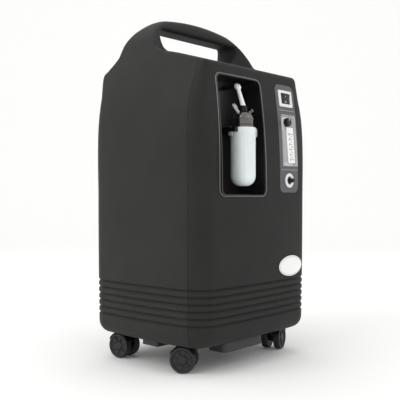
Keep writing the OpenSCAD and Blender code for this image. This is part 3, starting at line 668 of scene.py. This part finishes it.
# Spark-textured ABS in charcoal. The real grain is a quarter of a millimetre; 2.4 mm stands for it,
# because the finer one would not show, and broad clouds stand for the uneven sheen of a big moulding.
side_abs = moulded("charcoal_textured_abs", "#232322", "#292928", 0.6, 2.4, 0.14, shine=0.2)
rear_cover.data.materials.append(side_abs)
# The front cover gets a darker copy of the same ABS: painted shade, for the front face being less lit than the
# side.
shaded_front_abs = moulded("charcoal_textured_abs_painted_shade", "#1d1d1c", "#232322", 0.6, 2.4, 0.14, shine=0.2)
front_cover.data.materials.append(shaded_front_abs)

# ---------------------------------------------------------------- humidifier pocket and bottle
# A vacuum-formed black pocket with a thin satin edge strip. In it hangs a screw-on bubble bottle: a milky
# polycarbonate jar, a metallised smoke-grey lid with two ports, and a white elbow from the wall.
pocket_hips = moulded("black_vacuum_formed_styrene", "#0d0d0e", "#171718", 0.3, 5.0, 0.25, coat=0.15)
coat_node("pocket_liner", pocket_hips)
satin_edge = moulded("satin_bright_edge_strip", "#7b7a79", "#8f8e8c", 0.34, 1.5, 0.03)


def face_place(x, z):
    """Local axes on the front face: X to the right, Z up along the face and -Y straight out of it."""
    tilt = math.atan(2 * face_in * max(0, z - band_z) / (deck_z - band_z) ** 2)
    foot = foot_in * (max(band_z - z, 0) / (band_z - skirt_z)) ** 2
    lean = face_in * (max(z - band_z, 0) / (deck_z - band_z)) ** 2
    y = -half_d + math.hypot(lean, foot, bow * (x / half_w) ** 2)
    return Matrix.Translation((x, y, z)) @ Matrix.Rotation(-tilt, 4, "X")


pocket_x, pocket_z, pocket_w, pocket_h = pocket_mid[0], pocket_mid[2], pocket_size[0], pocket_size[2]


def pocket_loop(grow, out):
    """A loop round the pocket's mouth, this much bigger than it and this far out of the front face."""
    line = round_rect(pocket_w + grow, pocket_h + grow, 13 + grow / 2, 8)
    fine = []
    for (a, b), (c, d) in zip(line, line[1:] + line[:1]):
        count = max(1, int(math.hypot(c - a, d - b) / 9))
        fine += [(a + (c - a) * t / count, b + (d - b) * t / count) for t in range(count)]
    return [(pocket_x + a, face_place(pocket_x + a, pocket_z + b).translation.y - out, pocket_z + b)
            for a, b in fine]


edge_steps = (2.8, -0.4), (2.8, 0.4), (2.3, 0.7), (1.4, 0.7), (1.0, 0.4), (1.0, -0.4)
edge = loft("pocket_edge", [pocket_loop(*step) for step in edge_steps], satin_edge, (False, False), True)
lip_steps = ((1.0, -3), (1.0, 0.5), (0.2, 0.8), (-3.4, 0.8), (-4.4, 0.2), (-4.9, -1.2), (-5.0, -6), (-4.6, -6))
lip = loft("pocket_lip", [pocket_loop(*step) for step in lip_steps], pocket_hips, (False, False), True)
for piece, finish in ((edge, "trim_light"), (lip, "black_plastic")):
    smooth(piece, 40)
    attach(piece, "cabinet")
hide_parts("pocket_rim")

jar_mid, jar_size = box_mm("humidifier_jar")
jar_r, jar_h, jar_low = jar_size[0] / 2, jar_size[2], jar_mid[2] - jar_size[2] / 2
jar_place = Matrix.Translation((jar_mid[0], jar_mid[1], jar_low))
# Milky polycarbonate: white, half clear, glossy, with slow flow streaks up the wall.
milky, tree, shader = new_material("milky_polycarbonate")
place = add_node(tree, "ShaderNodeTexCoord")
pulled = add_node(tree, "ShaderNodeMapping", {"Scale": (1, 1, 0.12)}, {"Vector": place.outputs["Object"]})
streaks = add_node(tree, "ShaderNodeTexNoise", {"Scale": 190.0, "Detail": 2.0},
                   {"Vector": pulled.outputs["Vector"]})
tint(tree, shader, "#e3e6e7", "#ffffff", streaks.outputs["Fac"])
relief(tree, shader, 0.3, 0.15, streaks.outputs["Fac"])
set_inputs(shader, {"Roughness": 0.22, "IOR": 1.58, "Alpha": 0.86, "Subsurface Weight": 0.2,
                    "Subsurface Scale": 0.01})
jar_wall = 2.0
rim_z = jar_h - 4.5
turns = np.linspace(0, math.pi / 2, 13)
floor_r = jar_r - 19


def jar_side(inset):
    """The jar's foot, a broad round of 19 mm by 20 mm, then its wall up to the thick rim, this far inside."""
    foot = [(floor_r + (18.6 - inset) * math.sin(a), 20 - (20 - inset) * math.cos(a)) for a in turns]
    return [(0, inset)] + foot + [(jar_r - 0.4 - inset, rim_z - 8), (jar_r - inset, rim_z - 7)]


jar_out = jar_side(0) + [(jar_r, rim_z - 2), (jar_r - 0.3, rim_z - 0.6), (jar_r - 1, rim_z)]
jar_in = [(jar_r - jar_wall, rim_z)] + jar_side(jar_wall)[::-1]
jar_shell = lathe("bottle_jar", jar_out + jar_in, jar_place, milky, 80)
mark = loft("mark", [[(x, y, z) for y, z in ((-3.5, 0), (3.5, 0), (3.5, 0.7), (-3.5, 0.7))]
                     for x in (jar_r - 0.7, jar_r + 0.05)], milky)
repeat(mark, 7, step=(0, 0, 9))
put(mark, jar_place @ Matrix.Translation((0, 0, 34)) @ Matrix.Rotation(math.radians(-100), 4, "Z"))
jar_shell = join("bottle_jar_marked", [jar_shell, mark])
smooth(jar_shell, 40)
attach(jar_shell, "jar")
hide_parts("humidifier_jar")

# The lid: a polished band that screws into the jar, a narrow flange and a smooth dome.
smoke_metal = moulded("metallised_smoke_grey_abs", "#67635f", "#7c7874", 0.17, 2.5, 0.02, metallic=0.95)
lid_mid, lid_size = box_mm("humidifier_lid")
lid_low, lid_r = lid_mid[2] - lid_size[2] / 2, lid_size[0] / 2
band_r = min(lid_r, jar_r - jar_wall) - 0.8
lid_line = smooth_edges([(17.5, -6), (band_r, -6), (band_r, 9.2), (lid_r, 9.6), (lid_r, 12), (lid_r - 1.2, 12.6),
                         (lid_r - 2.4, 17), (14.5, 22.6), (8.6, 25.2), (7, 26.5), (6, 28), (6, lid_size[2])],
                        2.2, 5)
lid = lathe("bottle_lid", lid_line + [(0, lid_size[2])], Matrix.Translation((lid_mid[0], lid_mid[1], lid_low)),
            smoke_metal, 96)
smooth(lid, 40)
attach(lid, "cabinet")
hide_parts("humidifier_lid")


def see_through(name, fineness, low, high, colour, other, ior):
    """A clear plastic with a faint haze, its roughness from low to high."""
    made, tree, shader = new_material(name)
    place = add_node(tree, "ShaderNodeTexCoord")
    haze = add_node(tree, "ShaderNodeTexNoise", {"Scale": fineness, "Detail": 2.0},
                    {"Vector": place.outputs["Object"]})
    gloss = add_node(tree, "ShaderNodeMapRange", {"To Min": low, "To Max": high}, {"Value": haze.outputs["Fac"]})
    tree.links.new(gloss.outputs["Result"], shader.inputs["Roughness"])
    tint(tree, shader, colour, other, haze.outputs["Fac"])
    set_inputs(shader, {"Alpha": 0.3, "IOR": ior})
    return made


# Clear ports and tube: styrene, see-through with bright edges.
clear = see_through("clear_moulded_styrene", 400.0, 0.05, 0.18, "#dfe4e6", "#f4f6f7", 1.59)
coat_node("dip_tube", clear)
coat_node("lid_outlet_port", clear)
coat_node("relief_valve", smoke_metal)

# The white elbow with its ball end, and the black hose behind it that enters the pocket's wall.
white_pp = moulded("white_moulded_polypropylene", "#e8e8e5", "#f3f3f0", 0.3, 2.5, 0.04)
elbow_mid, elbow_size = box_mm("inlet_elbow")
elbow_top, elbow_low = elbow_mid[2] + elbow_size[2] / 2, elbow_mid[2] - elbow_size[2] / 2
ball_z = elbow_top - 6
ball_r, nut_h, lean_back = 6.8, 11.4, 0.36
ball_up = ball_z - elbow_low
rise = [(0, nut_h - 2), (5.0, nut_h - 2), (5.3, nut_h), (5.1, nut_h + 2), (4.5, 0.6 * ball_up), (4.2, ball_up - 6)]
rise += [(ball_r * math.sin(a), ball_up - ball_r * math.cos(a)) for a in np.linspace(math.radians(42), math.pi, 14)]
slant = Matrix.Identity(4)
slant[1][2] = lean_back
elbow = lathe("bottle_elbow", rise, Matrix.Translation((jar_mid[0], jar_mid[1], elbow_low + nut_h)) @ slant
              @ Matrix.Translation((0, 0, -nut_h)), white_pp, 48)
ball_y = jar_mid[1] + lean_back * (ball_up - nut_h)
nut = lathe("elbow_nut", smooth_edges([(0, -0.2), (8, -0.2), (8, 9), (6.2, 11.4), (0, 11.4)], 1),
            Matrix.Translation((jar_mid[0], jar_mid[1], elbow_low)), nylon, 48)
back_of_pocket = elbow_mid[1] + elbow_size[1] / 2
inward = Matrix.Rotation(math.radians(-90), 4, "X")
hose_end = back_of_pocket - ball_y
hose = lathe("elbow_hose", smooth_edges([(0, 4), (3.6, 4), (3.6, hose_end), (0, hose_end)], 0.6),
             Matrix.Translation((jar_mid[0], ball_y, ball_z)) @ inward, rubber, 32)
for piece in (elbow, nut, hose):
    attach(piece, "cabinet")
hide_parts("inlet_elbow")

# The bracket: a black yoke behind the lid, with a short grey snap clip on each side.
bracket_mid, bracket_size = box_mm("bottle_bracket")
bracket_top = bracket_mid[2] + bracket_size[2] / 2
clip_grey = moulded("natural_grey_acetal", "#8f9092", "#a2a3a5", 0.3, 2.0, 0.05)
yoke_r = jar_r + 1.4
yoke_line = [(yoke_r * math.cos(a), yoke_r * math.sin(a))
             for a in np.linspace(math.radians(-16), math.radians(196), 41)]
yoke_line += [(-33, -6), (-33, 44), (33, 44), (33, -6)]
yoke = loft("bracket_yoke", [[(jar_mid[0] + x * s, jar_mid[1] + y, z) for x, y in yoke_line]
                             for z, s in ((bracket_top - 9, 0.985), (bracket_top - 8, 1), (bracket_top - 1, 1),
                                          (bracket_top, 0.985))], nylon)
clips = []
for side in (-1, 1):
    line = round_rect(9, 18, 2.5)
    clips.append(loft("clip", [[(jar_mid[0] + side * x, jar_mid[1] - side * 6 + a * s, bracket_top - 8 + b * s)
                                for a, b in line] for x, s in ((26.2, 0.8), (27, 0.95), (31, 1), (32.4, 0.84))],
                      clip_grey))
clips = join("bracket_clips", clips)
for piece, finish in ((yoke, "black_plastic"), (clips, "lid_grey")):
    smooth(piece, 35)
    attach(piece, "cabinet")
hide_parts("bottle_bracket")

# ---------------------------------------------------------------- control strip
# A long grey moulded strip, curved with the front. It carries the power rocker in a white bezel, the
# acrylic flowmeter with its needle valve knob, and the oxygen outlet, parted by two bright bars.
strip_abs = moulded("satin_grey_abs", "#515055", "#5b5a5f", 0.42, 2.2, 0.06, shine=0.35)
coat_node("control_panel", strip_abs)
coat_node("panel_dividers", satin_edge)
white_abs = moulded("white_gloss_abs", "#dededb", "#ebebe8", 0.22, 2.5, 0.03, coat=0.3)

outward = Matrix.Rotation(math.radians(90), 4, "X")
bezel_place = face_place(90, 537)
frame_loops = [(0, 46, 35, 3), (-1.6, 46, 35, 3), (-2.6, 44.6, 33.6, 2.6), (-3, 43, 32, 2), (-3, 33.4, 24.4, 1.6),
               (-2.2, 31.4, 22.4, 1.2), (9, 31, 22, 1.2), (9, 38, 28, 2), (0, 38, 28, 2)]
bezel = loft("switch_frame", [[(a, y, b) for a, b in round_rect(w, h, r)] for y, w, h, r in frame_loops],
             white_abs, (False, False), True)
put(bezel, bezel_place)
smooth(bezel, 35)
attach(bezel, "cabinet")
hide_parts("switch_bezel")

# The rocker: two faces at an angle, hollowed a little, with the usual line and ring marks.
rocker_black = moulded("black_gloss_nylon", "#080809", "#0f0f10", 0.3, 2.0, 0.03, shine=0.35)
saddle = smooth_edges([(-6.2, 9.8), (-4.6, 5), (-3.4, 0), (-4.6, -5), (-6.2, -9.8), (-4.6, -10.2), (5, -5.2),
                       (5, 5.2), (-4.6, 10.2), (-6.2, 9.8)], 1.2)[:-1]
rocker = loft("power_rocker_cap", [[(x, y * s, z * s) for y, z in saddle]
                                   for x, s in ((-14.5, 0.94), (-13.9, 1), (13.9, 1), (14.5, 0.94))], rocker_black)
rocker_place = bezel_place @ Matrix.Translation((0, 3, 0)) @ Matrix.Rotation(math.radians(8), 4, "X")
put(rocker, rocker_place)
smooth(rocker, 30)
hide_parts("power_rocker")
white_ink = moulded("white_pad_print", "#e6e6e4", "#f4f4f2", 0.5, 1.5, 0.01)
ring_mark = lathe("mark_off", [(1.5, 0), (2.1, 0), (2.1, 0.3), (1.5, 0.3), (1.5, 0)],
                  Matrix.Translation((0, -5.35, -5.6)) @ Matrix.Rotation(math.radians(-17), 4, "X") @ outward,
                  white_ink, 24)
line_mark = loft("mark_on", [[(x, y, z) for x, z in ((-0.35, -1.9), (0.35, -1.9), (0.35, 1.9), (-0.35, 1.9))]
                             for y in (0.0, -0.3)], white_ink)
put(line_mark, Matrix.Translation((0, -5.05, 5.6)) @ Matrix.Rotation(math.radians(17), 4, "X"))
marks = put(join("rocker_marks", [ring_mark, line_mark]), rocker_place)
for piece in (rocker, marks):
    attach(piece, "rocker")

# The flowmeter: a clear acrylic block before a white back plate, with a glass-clear bore for the float
# and the scale printed on its front.
flow_place = face_place(93, 450)
acrylic = see_through("polished_cast_acrylic", 250.0, 0.03, 0.14, "#e9eef0", "#ffffff", 1.49)
block = loft("flow_block", [[(a, y, b) for a, b in round_rect(w, h, r)] for y, w, h, r in
                            ((13, 46, 106, 3), (13.6, 48, 108, 4), (-1.6, 48, 108, 4), (-2.6, 47.2, 107.2, 3.6),
                             (-3, 45.6, 105.6, 3))], acrylic)
back_plate = loft("flow_back_plate", [[(a, y, b) for a, b in round_rect(44, 104, 2.5)] for y in (12.5, 9.4)],
                  white_abs)
bore = lathe("flow_bore", [(4.0, -38), (4.0, 28), (3.7, 28), (3.7, -38), (4.0, -38)],
             Matrix.Translation((8, 4, 0)), acrylic, 40)
ends = join("flow_end_plugs", [
    lathe("plug", smooth_edges([(0, z), (5.2, z), (5.2, z + 7), (0, z + 7)], 0.8), Matrix.Translation((8, 4, 0)),
          zinc, 32)
    for z in (-45, 28)])
# Ten equal steps on the white scale, each fifth one longer, with plain numbers.
scale_plate = loft("flow_scale_plate", [[(a + 1, y, b - 10) for a, b in round_rect(24, 74, 2)]
                                        for y in (-2.9, -3.1)], white_ink)
black_ink = moulded("black_pad_print", "#121213", "#1c1c1d", 0.5, 1.5, 0.01)
ticks = []
for width, count, step in ((6.2, 11, 5.27), (10.2, 3, 26.35)):
    tick = loft("tick", [[(x, y, z) for x, z in ((1, -0.45), (1 + width, -0.45), (1 + width, 0.45), (1, 0.45))]
                         for y in (-3.1, -3.25)], black_ink)
    repeat(tick, count, step=(0, 0, step))
    ticks.append(put(tick, Matrix.Translation((0, 0, -40))))
for k in range(6):
    letters = bpy.data.curves.new("number", "FONT")
    letters.body = str(2 * k)
    letters.size = 8 * MM
    letters.align_x, letters.align_y = "RIGHT", "CENTER"
    letters.extrude = 0.0001
    written = new_object("number", letters)
    mesh = bpy.data.meshes.new_from_object(written.evaluated_get(bpy.context.evaluated_depsgraph_get()))
    bpy.data.objects.remove(written)
    mesh.materials.clear()
    mesh.materials.append(black_ink)
    ticks.append(put(new_object("number", mesh), Matrix.Translation((-0.4, -3.1, -40 + k * 10.54)) @ outward))
ticks = join("flow_marks", ticks)
for piece, finish in ((block, "clear_acrylic"), (back_plate, "white_plastic"), (bore, "clear_acrylic"),
                      (ends, "steel_zinc"), (scale_plate, "label_white"), (ticks, "black_plastic")):
    put(piece, flow_place)
    smooth(piece, 35)
    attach(piece, "cabinet")
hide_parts("flowmeter_body")
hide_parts("flow_scale")
ball_black = moulded("polished_black_ball", "#0b0b0d", "#121214", 0.1, 1.0, 0.005, coat=0.5)
coat_node("flow_float", ball_black)

# The needle valve's knob: glossy black with thirty ridges and a white pointer line.
knob_parts = [lathe("knob_body", smooth_edges([(0, 2), (2, 2), (2, 4), (8.6, 4), (9.2, 4.8), (9.2, 6.6), (8.5, 8),
                                               (8.3, 12.4), (7.6, 13.4), (0, 13.2)], 0.7), outward, rocker_black)]
ridge = loft("knob_ridge", [[(7.9, -0.42, z), (8.75, -0.2, z), (8.75, 0.2, z), (7.9, 0.42, z)]
                            for z in (7.8, 12.2)], rocker_black)
repeat(ridge, 30, turn=(0, 0, 12))
knob_parts.append(put(ridge, outward))
knob = join("flow_knob_cap", knob_parts)
pointer = loft("knob_pointer", [[(x, y, z) for x, z in ((-0.5, 2.6), (0.5, 2.6), (0.5, 7.0), (-0.5, 7.0))]
                                for y in (-13.2, -13.5)], white_ink)
for piece in (knob, pointer):
    put(piece, flow_place @ Matrix.Translation((-13, 0, 36)))
    smooth(piece, 35)
    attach(piece, "knob")
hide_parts("flow_knob")

# The outlet: a smooth black stub with a round collar, in a white ring.
outlet_place = face_place(90, 367) @ outward
ring_line = smooth_edges([(11, -9), (11, 0), (15, 0.6), (15, 2.2), (13.6, 3.2), (9.2, 3.2), (8, 2.2), (8, -9),
                          (11, -9)], 0.7)
ring = lathe("outlet_ring", ring_line, outlet_place, white_abs)
stub_line = smooth_edges([(0, -13), (7.9, -13), (7.9, 1.5), (6.8, 2.6), (4.8, 2.6), (4.5, 3.4), (4.5, 11.2),
                          (4.0, 12), (1.6, 12), (1.6, 2), (0, 2)], 0.5)
stub = lathe("outlet_spout", stub_line, outlet_place, rocker_black)
for piece, node, finish in ((ring, "outlet_bezel", "white_plastic"), (stub, "outlet_stub", "black_plastic")):
    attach(piece, "cabinet")
    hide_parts(node)

# ---------------------------------------------------------------- sticker
# A domed white vinyl oval, left blank but for a thin grey line round it. It is stuck on the front
# cover and follows the cover's curve.
label_mid, label_size = box_mm("info_label")
label_half, label_rise = label_size[0] / 2, 21.0


def oval(less):
    """Points round the sticker, a little inside its edge."""
    return [((label_half - less) * math.cos(a), (label_rise - less) * math.sin(a))
            for a in np.linspace(0, 2 * math.pi, 64, endpoint=False)]


def on_cover(points, out):
    """The sticker's points laid on the front cover, a little proud of it."""
    return [(label_mid[0] + a, face_place(label_mid[0] + a, label_mid[2] + b).translation.y - out,
             label_mid[2] + b) for a, b in points]


vinyl = moulded("white_gloss_vinyl", "#ececea", "#f7f7f5", 0.2, 3.0, 0.02, coat=0.5)
dome_steps = (0, -0.6), (0, 0.5), (0.3, 0.8), (0.8, 0.95), (3, 1.0), (10, 1.05), (18, 1.1)
sticker = loft("front_sticker", [on_cover(oval(less), out) for less, out in dome_steps], vinyl)
line_grey = moulded("grey_screen_print", "#8b8c8e", "#97989a", 0.45, 2.0, 0.01)
border = loft("sticker_line", [on_cover(oval(less), out) for less, out in
                               ((2.2, 1.0), (2.2, 1.12), (3.0, 1.12), (3.0, 1.0))], line_grey, (False, False), True)
for piece in (sticker, border):
    smooth(piece, 40)
    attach(piece, "cabinet")
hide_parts("info_label")

# ---------------------------------------------------------------- back
# The intake: a fixed frame with foam behind a louvred door hung from its top edge. Below it sit the
# power panel with a three-pole inlet and a push breaker. Four cross-head screws hold the cover.
frame_hips = moulded("black_textured_abs", "#19191a", "#222223", 0.5, 2.2, 0.1)
coat_node("filter_frame", frame_hips)
coat_node("breaker_body", frame_hips)
coat_node("breaker_button", nylon)
coat_node("mains_inlet", rocker_black)
coat_node("power_panel", duct_abs)
door_mid, door_size = box_mm("filter_door")
door_y = door_mid[1] - door_size[1] / 2
rim_loops = [(0, 0, 0), (3.2, 0, 0), (4, 0.9, 0.5), (4, 11, 3), (3.4, 11.8, 4), (0, 11.8, 4)]
door_w, door_h = door_size[0], door_size[2]
rim = loft("door_rim", [[(door_mid[0] + a, door_y + y, door_mid[2] + b)
                         for a, b in round_rect(door_w - 2 * less, door_h - 2 * less, 7 - r)]
                        for y, less, r in rim_loops], frame_hips, (False, False), True)
slat_w, slat_count, slat_pitch = door_w - 22, 12, 8.9
slat = loft("slat", [[(x, 0.3, 3.8), (x, 3.4, -3.0), (x, 2.5, -3.6), (x, 0.5, 2.4)]
                     for x in (-slat_w / 2, slat_w / 2)], frame_hips)
repeat(slat, slat_count, step=(0, 0, slat_pitch))
put(slat, Matrix.Translation((door_mid[0], door_y + 0.2, door_mid[2] - slat_pitch * (slat_count - 1) / 2)))
latch = loft("latch", [[(door_mid[0] + a * s, door_y + y, door_mid[2] - door_h / 2 + 5.6 + b * s)
                        for a, b in round_rect(26, 7, 3)] for y, s in ((3.9, 1), (4.4, 0.96))], frame_hips)
door = join("louvred_door", [rim, slat, latch])
smooth(door, 30)
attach(door, "door")
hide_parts("filter_door")

screw_mid, screw_size = box_mm("cover_screws")
head_y = screw_mid[1] + screw_size[1] / 2
screw_head_r = 4.5
head_line = smooth_edges([(0, -33), (1.9, -32), (1.9, -2.5), (screw_head_r, -2.5), (screw_head_r, -1.2),
                          (3.2, -0.1), (0, 0)], 0.6)
head = lathe("screw", head_line, material=zinc, steps=32)
cross = [loft("cutter", [[(a * s, b * s, z) for a, b in ((-2.1, -0.45), (2.1, -0.45), (2.1, 0.45), (-2.1, 0.45))]
                         for z, s in ((-1.5, 0.7), (0.4, 1.1))]) for _ in range(2)]
put(cross[1], Matrix.Rotation(math.pi / 2, 4, "Z"))
cut(head, cross)
put(head, Matrix.Translation((screw_mid[0] - screw_size[0] / 2 + screw_head_r, head_y,
                              screw_mid[2] - screw_size[2] / 2 + screw_head_r)) @ inward)
repeat(head, 2, step=(screw_size[0] - 2 * screw_head_r, 0, 0))
repeat(head, 2, step=(0, 0, screw_size[2] - 2 * screw_head_r))
head.name = "cover_fixings"
smooth(head, 35)
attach(head, "cabinet")
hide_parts("cover_screws")
